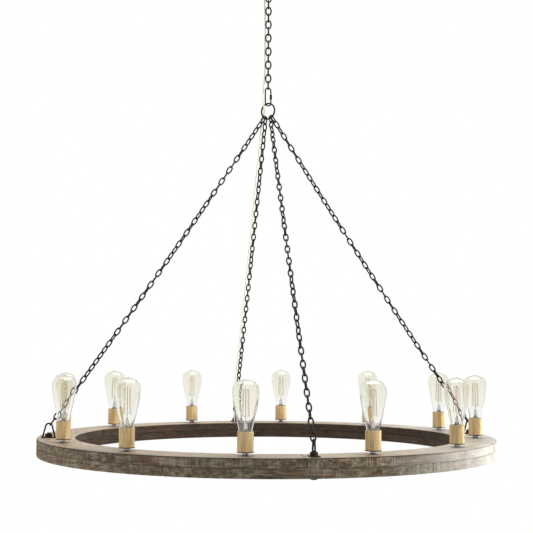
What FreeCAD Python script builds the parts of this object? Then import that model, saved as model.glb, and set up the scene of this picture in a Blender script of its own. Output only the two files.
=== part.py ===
import FreeCAD, Part
import Sketcher
import math
import os

# A wagon wheel chandelier: a laminated wooden rim that carries twelve candle-style sockets, hung from
# four bracket arches by four link chains, a gathering ring, a screw link and one chain to the ceiling.
# +Z is up. The origin is the ceiling face of the canopy, at the middle of the chain's line.
# The front bracket stands towards -Y, and angles around the rim count from there towards +X.

doc = FreeCAD.newDocument("WagonWheelChandelier")
Vector = FreeCAD.Vector
UP = Vector(0, 0, 1)

# ---------------------------------------------------------------- driving dimensions, mm and degrees

sheet = doc.addObject("Spreadsheet::Sheet", "Sizes")
driving_sizes = (
    ("rim_radius", 630),
    ("rim_width", 102),
    ("layer_height", 23),
    ("segment_count", 6),
    ("segment_joint", 0.4),
    ("upper_joint_turn", -2),
    ("lower_joint_turn", 28),
    ("socket_count", 12),
    ("socket_inset", 52),
    ("socket_turn", 15),
    ("channel_width", 14),
    ("channel_depth", 10),
    ("harness_width", 7),
    ("harness_height", 4),
    ("stem_diameter", 10),
    ("coupling_diameter", 15.6),
    ("stem_rise", 7.3),
    ("disc_edge", 1.25),
    ("disc_thickness", 1.5),
    ("sleeve_diameter", 37.5),
    ("sleeve_height", 46),
    ("sleeve_wall", 2.2),
    ("holder_floor", 4),
    ("holder_recess", 3.5),
    ("cap_diameter", 26),
    ("cap_length", 25),
    ("glass_recess", 3),
    ("glass_length", 121),
    ("glass_diameter", 64),
    ("glass_wall", 1),
    ("mount_height", 32),
    ("filament_length", 66),
    ("filament_width", 13),
    ("filament_wire", 0.9),
    ("bracket_count", 4),
    ("bracket_inset", 32),
    ("plate_length", 41),
    ("plate_width", 23),
    ("plate_thickness", 3),
    ("bail_wire", 4),
    ("bail_width", 36.5),
    ("bail_height", 37.5),
    ("bail_crown", 11),
    ("bolt_diameter", 10),
    ("bolt_head_diameter", 18),
    ("bolt_head_height", 4),
    ("washer_diameter", 22),
    ("washer_thickness", 1.5),
    ("nut_width", 17),
    ("nut_height", 8),
    ("bolt_end", 3),
    ("link_pitch", 19.8),
    ("link_play", 0.3),
    ("chain_wire", 3.6),
    ("chain_link_width", 15),
    ("chain_sag", 6),
    ("chain_wander", 40),
    ("hang_height", 899.7),
    ("ring_wire", 4.8),
    ("ring_diameter", 50),
    ("ring_turn", -45),
    ("ring_seat", 2.5),
    ("ring_inner_spot", 8.5),
    ("ring_outer_spot", 14.5),
    ("outer_link_roll", 12),
    ("quick_wire", 4),
    ("quick_width", 21),
    ("quick_length", 56),
    ("quick_nut_width", 7.5),
    ("quick_nut_height", 14),
    ("quick_nut_travel", 8),
    ("quick_turn", 12),
    ("view_turn", -10.85),
    ("top_wire", 4.1),
    ("top_link_width", 19),
    ("top_link_count", 14),
    ("loop_wire", 5),
    ("loop_width", 30),
    ("loop_height", 31),
    ("shank_diameter", 19),
    ("shank_bore", 10.6),
    ("shank_height", 20),
    ("collar_diameter", 27),
    ("collar_height", 8),
    ("canopy_diameter", 128),
    ("canopy_depth", 28),
    ("canopy_wall", 1.5),
    ("crossbar_length", 104),
    ("crossbar_width", 16),
    ("crossbar_thickness", 3),
    ("mount_spacing", 88.9),
    ("mount_hole", 5),
    ("nipple_diameter", 10),
    ("nipple_bore", 7),
    ("nipple_length", 27),
    ("locknut_width", 16),
    ("locknut_height", 5),
    ("cord_diameter", 4),
    ("bush_diameter", 13),
    ("bush_height", 3),
    ("fit_gap", 0.3),
    ("stem_fit", 0.2),
    ("thread_fit", 0.1),
    ("cord_fit", 1.2),
)
for row, (alias, value) in enumerate(driving_sizes, start=1):
    sheet.set(f"A{row}", alias)
    sheet.set(f"B{row}", str(value))
    sheet.setAlias(f"B{row}", alias)
doc.recompute()


def size(alias):
    return float(sheet.get(alias))


# ---------------------------------------------------------------- circles and levels, worked out from the sizes

fit_gap = size("fit_gap")
socket_circle = size("rim_radius") - size("socket_inset")
bracket_circle = size("rim_radius") - size("bracket_inset")
loop_bar = -(size("canopy_depth") + size("collar_height") + size("loop_height") - size("loop_wire") / 2)
top_length = size("link_pitch") + size("link_play") + 2 * size("top_wire")
chain_length = size("link_pitch") + size("link_play") + 2 * size("chain_wire")
first_link_top = loop_bar + (size("loop_wire") + size("top_wire")) / 2 + fit_gap
first_link_middle = first_link_top - (top_length - size("top_wire")) / 2
first_link_bottom = first_link_top - (top_length - size("top_wire"))
last_link_middle = first_link_middle - (size("top_link_count") - 1) * size("link_pitch")
last_link_bottom = last_link_middle - (top_length - size("top_wire")) / 2
quick_top = last_link_bottom + (size("top_wire") + size("quick_wire")) / 2 + fit_gap
quick_middle = quick_top - (size("quick_length") - size("quick_wire")) / 2
quick_bottom = quick_top - (size("quick_length") - size("quick_wire"))
ring_radius = (size("ring_diameter") - size("ring_wire")) / 2
ring_middle = quick_bottom + (size("quick_wire") + size("ring_wire")) / 2 + size("ring_seat") - ring_radius
rim_top = ring_middle - ring_radius - size("hang_height")
rim_middle = rim_top - size("layer_height")
rim_bottom = rim_top - 2 * size("layer_height")
disc_base = rim_top + size("stem_rise")
sleeve_base = disc_base + size("disc_thickness")
sleeve_top = sleeve_base + size("sleeve_height")
glass_base = sleeve_top - size("glass_recess")
plate_top = rim_top + size("plate_thickness")
# A square bar needs a little more room in a bend than a round one of the same thickness.
flat_side_room = 1.25
# Small turned pieces are prisms: these are the sides of the coarse, the finer and the six-sided ones.
turned_sides = 8
round_sides = 16
bore_sides = 12
hex_sides = 6
bail_steps = 6
mount_sides = 4
cord_sides = 4
# Bore radii that more than one piece has.
cord_bore = "Sizes.cord_diameter / 2 + Sizes.cord_fit"
bolt_bore = "Sizes.bolt_diameter / 2 + Sizes.fit_gap"
thread_bore = "Sizes.bolt_diameter / 2 + Sizes.thread_fit"
disc_bore = "Sizes.stem_diameter / 2 + Sizes.thread_fit"


# ---------------------------------------------------------------- small helpers

def bind(item, **expressions):
    for name, expression in expressions.items():
        item.setExpression(name, expression)
    return item


def shifted(item, z, turn=0.0, along=(0.0, 0.0)):
    item.Placement = FreeCAD.Placement(Vector(along[0], along[1], z), FreeCAD.Rotation(UP, turn))
    return item


def prism(name, sides, radius, height, z, turn=0.0, along=(0.0, 0.0)):
    item = doc.addObject("Part::Prism", name)
    item.Polygon = sides
    bind(item, Circumradius=radius, Height=height)
    return shifted(item, z, turn, along)


def cylinder(name, radius, height, z, along=(0.0, 0.0)):
    item = doc.addObject("Part::Cylinder", name)
    bind(item, Radius=radius, Height=height)
    return shifted(item, z, 0.0, along)


def cut(label, base, tool):
    item = doc.addObject("Part::Cut", label)
    item.Base = base
    item.Tool = tool
    item.Label = label
    return item


def fused(label, items):
    item = doc.addObject("Part::MultiFuse", label)
    item.Shapes = items
    item.Label = label
    return item


def feature(label, shape):
    item = doc.addObject("Part::Feature", label)
    item.Shape = shape
    item.Placement = shape.Placement
    item.Label = label
    return item


def rim_point(circle, turn, z):
    angle = math.radians(turn)
    return Vector(circle * math.sin(angle), -circle * math.cos(angle), z)


def spread(label, piece, count, first_turn=0.0):
    # Copies of a piece that is built at the front, turned to evenly spaced places around the rim.
    doc.recompute()
    copies = []
    for k in range(count):
        turned = piece.Shape.copy()
        turned.rotate(Vector(), UP, first_turn + k * 360.0 / count)
        copies.append(turned)
    return feature(label, Part.makeCompound(copies))


def outline_face(points):
    return Part.Face(Part.makePolygon(points + points[:1]))


def faceted_turning(stations, sides, middle):
    # A turned form with flat sides: a regular outline at each (height, radius), joined by flat panels.
    rings = []
    for height, radius in stations:
        corners = []
        for k in range(sides):
            angle = 2 * math.pi * k / sides
            corners.append(middle + Vector(radius * math.cos(angle), radius * math.sin(angle), height))
        rings.append(corners)
    faces = [outline_face(rings[0]), outline_face(rings[-1])]
    for low, high in zip(rings, rings[1:]):
        for k in range(sides):
            after = (k + 1) % sides
            faces.append(outline_face([low[k], low[after], high[after], high[k]]))
    return Part.Solid(Part.makeShell(faces))


# ---------------------------------------------------------------- rim

def rim_ring(name, z):
    outer = cylinder(f"{name}_outer", "Sizes.rim_radius", "Sizes.layer_height", z)
    inner = cylinder(f"{name}_inner", "Sizes.rim_radius - Sizes.rim_width", "Sizes.layer_height", z)
    return cut(f"{name}_ring", outer, inner)


def joint_saws(name, first_turn, z):
    # One thin radial saw cut per glued joint between two segments. It runs out past both faces of the rim.
    saws = []
    run_out = size("rim_width") * 0.1
    count = int(size("segment_count"))
    for k in range(count):
        turn = first_turn + k * 360.0 / count
        saw = doc.addObject("Part::Box", f"{name}_{k}")
        bind(saw, Length="Sizes.segment_joint", Width="Sizes.rim_width * 1.2", Height="Sizes.layer_height")
        start = rim_point(size("rim_radius") + run_out, turn, z)
        side = rim_point(1, turn + 90, 0) * (-size("segment_joint") / 2)
        saws.append(shifted(saw, z, turn, (start.x + side.x, start.y + side.y)))
    return saws


def drilled(name, sides, radius, count, circle, first_turn, z):
    holes = []
    for k in range(count):
        turn = first_turn + k * 360.0 / count
        place = rim_point(circle, turn, z)
        holes.append(prism(f"{name}_{k}", sides, radius, "Sizes.layer_height", z, turn, (place.x, place.y)))
    return holes


def rim_layers():
    stem_radius = "Sizes.stem_diameter / 2 + Sizes.stem_fit"
    tools = joint_saws("upper_saw", size("upper_joint_turn"), rim_middle)
    tools += drilled("upper_bolt_hole", turned_sides, bolt_bore, int(size("bracket_count")),
                     bracket_circle, 0, rim_middle)
    tools += drilled("stem_hole", hex_sides, stem_radius, int(size("socket_count")),
                     socket_circle, size("socket_turn"), rim_middle)
    tools.append(prism("cord_hole", turned_sides, cord_bore, "Sizes.layer_height", rim_middle, 0,
                       (cord_entry.x, cord_entry.y)))
    cut("rim_upper_segments", rim_ring("upper", rim_middle), fused("upper_cuts", tools))

    tools = joint_saws("lower_saw", size("lower_joint_turn"), rim_bottom)
    tools += drilled("lower_bolt_hole", turned_sides, bolt_bore, int(size("bracket_count")),
                     bracket_circle, 0, rim_bottom)
    tools.append(straight_sided_ring("channel", "Sizes.channel_width", "Sizes.channel_depth",
                                     rim_middle - size("channel_depth")))
    cut("rim_lower_segments", rim_ring("lower", rim_bottom), fused("lower_cuts", tools))


def straight_sided_ring(name, width, height, z):
    # A ring of straight runs from socket to socket, as a router or a cable follows them.
    count = int(size("socket_count"))
    turn = size("socket_turn") - 90
    lean = f" / 2 / cos(180 deg / {count})"
    circle = "Sizes.rim_radius - Sizes.socket_inset"
    outer = prism(f"{name}_outer", count, f"{circle} + {width}{lean}", height, z, turn)
    inner = prism(f"{name}_inner", count, f"{circle} - {width}{lean}", height, z, turn)
    return cut(name, outer, inner)


def harness():
    ring = straight_sided_ring("wiring", "Sizes.harness_width", "Sizes.harness_height",
                               rim_middle - size("channel_depth"))
    ring.Label = "wiring_harness"


# ---------------------------------------------------------------- sockets and bulbs

def socket_parts():
    count = int(size("socket_count"))
    place = (0.0, -socket_circle)
    first = size("socket_turn")

    # A rod through the upper layer, with a six-sided coupling between the rim and the disc.
    rod = prism("stem_rod", hex_sides, "Sizes.stem_diameter / 2",
                "Sizes.layer_height + Sizes.stem_rise + Sizes.disc_thickness", rim_middle, 0, place)
    coupling = prism("stem_coupling", hex_sides, "Sizes.coupling_diameter / 2", "Sizes.stem_rise",
                     rim_top, 0, place)
    spread("socket_stems", fused("stem_form", [rod, coupling]), count, first)

    disc = cut("disc_form",
               prism("disc_outer", turned_sides, "Sizes.sleeve_diameter / 2 + Sizes.disc_edge", "Sizes.disc_thickness",
                     disc_base, 0, place),
               prism("disc_bore", hex_sides, disc_bore, "Sizes.disc_thickness", disc_base, 0, place))
    spread("socket_discs", disc, count, first)

    sleeve = cut("sleeve_form",
                 prism("sleeve_outer", turned_sides, "Sizes.sleeve_diameter / 2", "Sizes.sleeve_height",
                       sleeve_base, 0, place),
                 prism("sleeve_bore", turned_sides, "Sizes.sleeve_diameter / 2 - Sizes.sleeve_wall",
                       "Sizes.sleeve_height", sleeve_base, 0, place))
    spread("socket_sleeves", sleeve, count, first)

    # The holder is a cup: the bulb's cap screws into it, and the stem's end bears on its floor.
    holder = cut("holder_form",
                 prism("holder_outer", turned_sides,
                       "Sizes.sleeve_diameter / 2 - Sizes.sleeve_wall - Sizes.fit_gap",
                       "Sizes.sleeve_height - Sizes.holder_recess", sleeve_base, 0, place),
                 prism("holder_bore", turned_sides, "Sizes.cap_diameter / 2 + Sizes.fit_gap",
                       "Sizes.sleeve_height", sleeve_base + size("holder_floor"), 0, place))
    spread("lampholders", holder, count, first)


# The glass outline from the neck to the tip, as shares of its length and of its largest radius. The
# hollow follows the neck, the widest place and the tip.
glass_outline = ((0.0, 0.48), (0.22, 0.69), (0.72, 1.0), (0.92, 0.7), (1.0, 0.18))
hollow_outline = ((0.0, 0.48), (0.72, 1.0), (0.98, 0.3))


def glass_shape(middle):
    length = size("glass_length")
    radius = size("glass_diameter") / 2
    outer = [(along * length, across * radius) for along, across in glass_outline]
    inner = [(along * length, across * radius - size("glass_wall")) for along, across in hollow_outline]
    return faceted_turning(outer, turned_sides, middle).cut(faceted_turning(inner, turned_sides, middle))


def filament_shape(middle):
    # One flat hairpin of filament: it rises from the glass mount and comes back down to it.
    half_width = size("filament_width") / 2
    wire = size("filament_wire")
    foot = size("mount_height") - wire
    crown = foot + size("filament_length")
    outer = [Vector(-half_width, 0, foot), Vector(half_width, 0, foot), Vector(half_width, 0, crown),
             Vector(-half_width, 0, crown)]
    reach = half_width - wire
    inner = [Vector(-reach, 0, foot + wire), Vector(reach, 0, foot + wire), Vector(reach, 0, crown - wire),
             Vector(-reach, 0, crown - wire)]
    strand = outline_face(outer).cut(outline_face(inner)).extrude(Vector(0, wire, 0))
    strand.translate(middle + Vector(0, -wire / 2, wire))
    return strand


def bulbs():
    count = int(size("socket_count"))
    cap_radius = size("cap_diameter") / 2
    # The cap narrows to its contact button over its last fifth.
    cap_stations = ((-size("cap_length"), cap_radius * 0.4), (-size("cap_length") * 0.8, cap_radius),
                    (0, cap_radius))
    mount_stations = ((0, cap_radius / 2), (size("mount_height"), cap_radius / 6))
    for k in range(count):
        turn = size("socket_turn") + k * 360.0 / count
        middle = rim_point(socket_circle, 0, glass_base)
        glass = glass_shape(middle)
        base = Part.makeCompound([faceted_turning(cap_stations, turned_sides, middle),
                                  faceted_turning(mount_stations, mount_sides, middle),
                                  filament_shape(middle)])
        glass.rotate(Vector(), UP, turn)
        base.rotate(Vector(), UP, turn)
        feature(f"bulb_glass_{k + 1:02d}", glass)
        feature(f"bulb_base_{k + 1:02d}", base)


# ---------------------------------------------------------------- brackets

def bail_shape():
    # A wire arch in the upright plane through the rim's middle: a round crown on two spread legs.
    wire = size("bail_wire")
    crown = size("bail_crown")
    foot = size("bail_width") / 2
    middle = Vector(0, -bracket_circle, plate_top + size("bail_height") - crown)
    outer = []
    inner = []
    for k in range(bail_steps + 1):
        angle = math.pi * k / bail_steps
        reach = Vector(0, -math.cos(angle), math.sin(angle))
        outer.append(middle + reach * crown)
        inner.append(middle + reach * (crown - wire))
    ground = Vector(0, -bracket_circle, plate_top)
    aside = Vector(0, 1, 0)
    near_foot = [ground - aside * (foot - wire), ground - aside * foot]
    far_foot = [ground + aside * foot, ground + aside * (foot - wire)]
    arch = outline_face(near_foot + outer + far_foot + inner[::-1])
    arch = arch.extrude(Vector(wire, 0, 0))
    arch.translate(Vector(-wire / 2, 0, 0))
    return arch


def bracket_parts():
    count = int(size("bracket_count"))
    place = (0.0, -bracket_circle)
    plate = doc.addObject("Part::Box", "plate_blank")
    bind(plate, Length="Sizes.plate_width", Width="Sizes.plate_length", Height="Sizes.plate_thickness")
    shifted(plate, rim_top, 0, (-size("plate_width") / 2, -bracket_circle - size("plate_length") / 2))
    plate = cut("plate_form", plate,
                prism("plate_hole", turned_sides, bolt_bore, "Sizes.plate_thickness", rim_top, 0, place))
    spread("bracket_plates", plate, count)

    bail = feature("bail_form", bail_shape())
    spread("bracket_bails", bail, count)
    doc.removeObject(bail.Name)

    head_base = rim_bottom - size("washer_thickness") - size("bolt_head_height")
    shank = prism("bolt_shank", turned_sides, "Sizes.bolt_diameter / 2",
                  "2 * Sizes.layer_height + Sizes.plate_thickness + Sizes.washer_thickness"
                  " + Sizes.nut_height + Sizes.bolt_end",
                  rim_bottom - size("washer_thickness"), 0, place)
    head = prism("bolt_head", turned_sides, "Sizes.bolt_head_diameter / 2", "Sizes.bolt_head_height",
                 head_base, 0, place)
    spread("bracket_bolts", fused("bolt_form", [shank, head]), count)

    washer_base = rim_bottom - size("washer_thickness")
    washer = cut("washer_form",
                 prism("washer_outer", turned_sides, "Sizes.washer_diameter / 2", "Sizes.washer_thickness",
                       washer_base, 0, place),
                 prism("washer_bore", turned_sides, "Sizes.bolt_diameter / 2 + Sizes.stem_fit",
                       "Sizes.washer_thickness", washer_base, 0, place))
    spread("bracket_washers", washer, count)

    nut = cut("nut_form",
              prism("nut_outer", hex_sides, "Sizes.nut_width / 2 / cos(30 deg)", "Sizes.nut_height",
                    plate_top, 0, place),
              prism("nut_bore", turned_sides, thread_bore, "Sizes.nut_height", plate_top, 0, place))
    spread("bracket_nuts", nut, count)


# ---------------------------------------------------------------- chains

def link_shape(wire, width, length):
    # A flat-sided link that stands along Z with its opening facing Y.
    outer = Part.makeBox(width, wire, length, Vector(-width / 2, -wire / 2, -length / 2))
    inner = Part.makeBox(width - 2 * wire, wire, length - 2 * wire,
                         Vector(wire - width / 2, -wire / 2, wire - length / 2))
    return outer.cut(inner)


def placed(shape, middle, normal, along):
    # Stands a link's opening across the normal and its length along the chain.
    across = normal.cross(along)
    turn = FreeCAD.Rotation(across, normal, along, "ZYX")
    copy = shape.copy()
    copy.Placement = FreeCAD.Placement(middle, turn)
    return copy


def square_to(direction, near):
    return (near - direction * near.dot(direction)).normalize()


def chain_ends(bracket_turn, spot):
    # The first and last bar of a chain, and the ways its bars cross the ring's wire and the bracket's arch.
    wire = size("chain_wire")
    ring_angle = math.radians(size("ring_turn"))
    ring_way = Vector(math.cos(ring_angle), math.sin(ring_angle), 0)
    tilt = spot / ring_radius
    ring_point = ring_way * (ring_radius * math.sin(tilt)) + UP * (ring_middle - ring_radius * math.cos(tilt))
    ring_tangent = ring_way * math.cos(tilt) + UP * math.sin(tilt)
    arch_radius = size("bail_crown") - size("bail_wire") / 2
    arch_middle = rim_point(bracket_circle, bracket_turn,
                            plate_top + size("bail_height") - size("bail_crown"))
    pull = (ring_point - arch_middle).normalize()
    arch_point = arch_middle + pull * arch_radius
    first_bar = ring_point + pull * ((size("ring_wire") + wire) / 2 + fit_gap + flat_side_room)
    last_bar = arch_point - pull * ((size("bail_wire") + wire) / 2 + fit_gap + flat_side_room / 2)
    return first_bar, last_bar, ring_tangent, square_to(pull, UP)


def chain_middle(first_bar, last_bar, share):
    # The sagging line of a chain and its direction, at a share of the way from the ring to the bracket.
    span = last_bar - first_bar
    droop = square_to(Vector(span).normalize(), UP) * -1
    middle = first_bar + span * share + droop * (4 * size("chain_sag") * share * (1 - share))
    along = span + droop * (4 * size("chain_sag") * (1 - 2 * share))
    return middle, along.normalize()


def uneven_twist(share, waves, phase):
    # How far links stand from an even twist, in degrees: nothing at the two ends, and waves between.
    fade = max(0, min(1, 14 * share - 0.7, 14 * (1 - share) - 0.7))
    return size("chain_wander") * fade * math.sin(2 * math.pi * waves * share + phase)


def hung_chain(bracket_turn, spot, roll, waves, phase):
    # The links from one place on the gathering ring, spot mm along its wire, to one bracket's arch. The
    # links turn by quarters, and an uneven twist over the whole chain joins the seats at its two ends.
    wire = size("chain_wire")
    first_bar, last_bar, ring_tangent, arch_tangent = chain_ends(bracket_turn, spot)
    whole = (last_bar - first_bar).Length
    reach = whole - (chain_length - wire)
    count = round(reach / size("link_pitch")) + 1
    pitch = reach / (count - 1)
    down = (last_bar - first_bar).normalize()
    first_normal = FreeCAD.Rotation(down, roll).multVec(square_to(down, ring_tangent))
    last_normal = square_to(down, arch_tangent)
    twist = math.degrees(math.atan2(down.dot(first_normal.cross(last_normal)), first_normal.dot(last_normal)))
    twist -= 90 * (count - 1)
    twist -= 180 * round(twist / 180)
    links = []
    shape = link_shape(wire, size("chain_link_width"), chain_length)
    for k in range(count):
        share = ((chain_length - wire) / 2 + k * pitch) / whole
        middle, along = chain_middle(first_bar, last_bar, share)
        done = k / (count - 1)
        turn = 90 * k + twist * done + uneven_twist(done, waves, phase)
        normal = FreeCAD.Rotation(down, turn).multVec(first_normal)
        links.append(placed(shape, middle, square_to(along, normal), along))
    print(f"chain to {bracket_turn:.0f} degrees: {count} links, pitch {pitch:.3f}, twist {twist:.1f}")
    return Part.makeCompound(links)


def hung_chains():
    inner = size("ring_inner_spot")
    outer = size("ring_outer_spot")
    roll = size("outer_link_roll")
    # Each chain: its bracket, its spot on the ring, its first link's roll, and the waves of its twist.
    feature("chain_left", hung_chain(270, -outer, roll, 2.4, 2.0))
    feature("chain_back", hung_chain(180, -inner, 0, 1.8, 1.0))
    feature("chain_front", hung_chain(0, inner, 0, 2.7, 0.0))
    feature("chain_right", hung_chain(90, outer, roll, 2.2, -1.9))


def view_ways():
    angle = math.radians(size("view_turn"))
    return Vector(math.cos(angle), math.sin(angle), 0), Vector(-math.sin(angle), math.cos(angle), 0)


def top_chain():
    across, depth = view_ways()
    shape = link_shape(size("top_wire"), size("top_link_width"), top_length)
    links = []
    for k in range(1, int(size("top_link_count"))):
        middle = UP * (first_link_middle - k * size("link_pitch"))
        links.append(placed(shape, middle, across if k % 2 else depth, UP))
    feature("top_chain", Part.makeCompound(links))


def first_link():
    # The link in the ceiling loop: it turns on the loop's bar, and its own round bottom bar carries the next.
    wire = size("top_wire")
    frame = link_shape(wire, size("top_link_width"), top_length)
    side = size("top_link_width") / 2
    under = Part.makeBox(2 * side, wire, wire, Vector(-side, -wire / 2, -top_length / 2))
    bar = faceted_turning(((-side, wire / 2), (side, wire / 2)), round_sides, Vector())
    bar.rotate(Vector(), Vector(0, 1, 0), 90)
    bar.translate(Vector(0, 0, (wire - top_length) / 2))
    across, depth = view_ways()
    link = frame.cut(under).fuse(bar).removeSplitter()
    feature("first_link", placed(link, UP * first_link_middle, depth, UP))


def gathering_ring():
    outer = "Sizes.ring_diameter / 2"
    ring = cut("gathering_ring",
               prism("ring_outer", round_sides, outer, "Sizes.ring_wire", 0),
               prism("ring_inner", round_sides, f"{outer} - Sizes.ring_wire", "Sizes.ring_wire", 0))
    angle = math.radians(size("ring_turn"))
    side = Vector(-math.sin(angle), math.cos(angle), 0)
    way = Vector(math.cos(angle), math.sin(angle), 0)
    turn = FreeCAD.Rotation(way, UP, side * -1, "ZXY")
    half = size("ring_wire") / 2
    ring.Placement = FreeCAD.Placement(UP * ring_middle + side * half, turn)


def eight_corners(half_width, half_length, corner):
    # An upright rectangle whose four corners are cut off, as a closed line of eight points.
    points = []
    for x, z in ((-1, -1), (1, -1), (1, 1), (-1, 1)):
        level = Vector(x * (half_width - corner), 0, z * half_length)
        upright = Vector(x * half_width, 0, z * (half_length - corner))
        points += [upright, level] if x == z else [level, upright]
    return points


def quick_link():
    # A long link whose right side is parted. A sleeve nut on that side closes the part with its thread.
    wire = size("quick_wire")
    width = size("quick_width")
    length = size("quick_length")
    angle = math.radians(size("quick_turn"))
    facing = Vector(-math.sin(angle), math.cos(angle), 0)
    outer = eight_corners(width / 2, length / 2, 5)
    inner = eight_corners(width / 2 - wire, length / 2 - wire, 3.5)
    frame = outline_face(outer).cut(outline_face(inner)).extrude(Vector(0, wire, 0))
    frame.translate(Vector(0, -wire / 2, 0))
    parting = size("quick_nut_travel") - 2
    saw = wire * 1.2
    gap = Part.makeBox(saw, saw, parting, Vector((width - wire - saw) / 2, -saw / 2, -parting / 2))
    feature("quick_link", placed(frame.cut(gap), UP * quick_middle, facing, UP))

    side_middle = Vector((width - wire) / 2, 0, -size("quick_nut_height") / 2)
    nut_radius = size("quick_nut_width") / 2
    nut = faceted_turning(((0, nut_radius), (size("quick_nut_height"), nut_radius)), hex_sides, side_middle)
    bore_width = wire + fit_gap
    bore = Part.makeBox(bore_width, bore_width, size("quick_nut_height"),
                        side_middle - Vector(bore_width / 2, bore_width / 2, 0))
    feature("quick_link_nut", placed(nut.cut(bore), UP * quick_middle, facing, UP))


# ---------------------------------------------------------------- ceiling fitting

def canopy():
    # A spun dish: its open side lies on the ceiling, and its floor has the hole for the loop's shank.
    body = doc.addObject("PartDesign::Body", "CanopyBody")
    body.Label = "canopy"
    plane = next(item for item in body.Origin.OriginFeatures if item.Role == "XZ_Plane")
    sketch = body.newObject("Sketcher::SketchObject", "CanopyProfile")
    sketch.AttachmentSupport = [(plane, "")]
    sketch.MapMode = "FlatFace"
    wall = "Sizes.canopy_wall"
    hole = "Sizes.shank_diameter / 2 + Sizes.fit_gap"
    edge = "Sizes.canopy_diameter / 2"
    shoulder = f"{edge} * 0.72"
    depth = "Sizes.canopy_depth"
    outline = ((hole, depth), (shoulder, depth), (edge, "0"), (f"{edge} - {wall}", "0"),
               (f"{shoulder} - {wall} * 0.4", f"{depth} - {wall}"), (hole, f"{depth} - {wall}"))
    corners = [Vector(sheet.evalExpression(across), -sheet.evalExpression(down), 0)
               for across, down in outline]
    for start, end in zip(corners, corners[1:] + corners[:1]):
        sketch.addGeometry(Part.LineSegment(start, end), False)
    for k, (across, down) in enumerate(outline):
        after = (k + 1) % len(outline)
        sketch.addConstraint(Sketcher.Constraint("Coincident", k, 2, after, 1))
        row = sketch.addConstraint(Sketcher.Constraint("DistanceX", -1, 1, k, 1, corners[k].x))
        sketch.setExpression(f"Constraints[{row}]", across)
        if down == "0":
            sketch.addConstraint(Sketcher.Constraint("PointOnObject", k, 1, -1))
        else:
            row = sketch.addConstraint(Sketcher.Constraint("DistanceY", k, 1, -1, 1, -corners[k].y))
            sketch.setExpression(f"Constraints[{row}]", down)
    spin = body.newObject("PartDesign::Revolution", "CanopySpin")
    spin.Profile = (sketch, [""])
    spin.ReferenceAxis = (sketch, ["V_Axis"])
    spin.Angle = 360
    sketch.Visibility = False


def crossbar():
    bar = doc.addObject("Part::Box", "crossbar_blank")
    bind(bar, Length="Sizes.crossbar_length", Width="Sizes.crossbar_width", Height="Sizes.crossbar_thickness")
    base = -size("crossbar_thickness")
    shifted(bar, base, 0, (-size("crossbar_length") / 2, -size("crossbar_width") / 2))
    through = "Sizes.crossbar_thickness"
    holes = [prism("crossbar_centre", bore_sides, "Sizes.nipple_diameter / 2", through, base)]
    for side in (-1, 1):
        place = (side * size("mount_spacing") / 2, 0)
        holes.append(cylinder(f"mount_hole_{side + 1}", "Sizes.mount_hole / 2", through, base, place))
    cut("crossbar", bar, fused("crossbar_holes", holes))


def ceiling_parts():
    crossbar()
    canopy()
    nipple_base = -size("nipple_length")
    cut("canopy_nipple",
        prism("nipple_outer", bore_sides, "Sizes.nipple_diameter / 2", "Sizes.nipple_length", nipple_base),
        prism("nipple_inner", bore_sides, "Sizes.nipple_bore / 2", "Sizes.nipple_length", nipple_base))
    nut_base = -size("crossbar_thickness") - size("locknut_height")
    cut("locknut",
        prism("locknut_outer", hex_sides, "Sizes.locknut_width / 2 / cos(30 deg)", "Sizes.locknut_height",
              nut_base),
        prism("locknut_bore", bore_sides, "Sizes.nipple_diameter / 2", "Sizes.locknut_height", nut_base))
    collar_base = -size("canopy_depth") - size("collar_height")
    cut("canopy_collar",
        prism("collar_outer", round_sides, "Sizes.collar_diameter / 2", "Sizes.collar_height", collar_base),
        prism("collar_bore", round_sides, "Sizes.shank_diameter / 2", "Sizes.collar_height", collar_base))
    ceiling_loop()


def ceiling_loop():
    # A square-shouldered loop under a hollow threaded shank. Its plane runs in depth, and its lower bar is
    # round, because the first link turns on it.
    wire = size("loop_wire")
    width = size("loop_width")
    height = size("loop_height")
    frame_top = -size("canopy_depth") - size("collar_height")
    frame = Part.makeBox(wire, width, height, Vector(-wire / 2, -width / 2, frame_top - height))
    window = Part.makeBox(wire, width - 2 * wire, height - 2 * wire,
                          Vector(-wire / 2, wire - width / 2, frame_top - height + wire))
    under = Part.makeBox(wire, width, wire, Vector(-wire / 2, -width / 2, frame_top - height))
    bar = Part.makeCylinder(wire / 2, width, Vector(0, -width / 2, loop_bar), Vector(0, 1, 0))
    shank_length = size("shank_height") + wire
    shank = faceted_turning(((0, size("shank_diameter") / 2), (shank_length, size("shank_diameter") / 2)),
                            round_sides, Vector(0, 0, frame_top - wire))
    bore = faceted_turning(((0, size("shank_bore") / 2), (shank_length, size("shank_bore") / 2)),
                           bore_sides, Vector(0, 0, frame_top - wire))
    shank.rotate(Vector(), UP, -size("view_turn"))
    bore.rotate(Vector(), UP, -size("view_turn"))
    loop = frame.cut(window).cut(under).fuse([bar, shank]).removeSplitter().cut(bore)
    loop.rotate(Vector(), UP, size("view_turn"))
    feature("ceiling_loop", loop)


# ---------------------------------------------------------------- supply cord

cord_entry = Vector(-7, socket_circle * math.cos(math.pi / size("socket_count")) + 2, rim_top)


def from_view(x, y, z):
    across, depth = view_ways()
    return across * x + depth * y + UP * z


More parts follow.
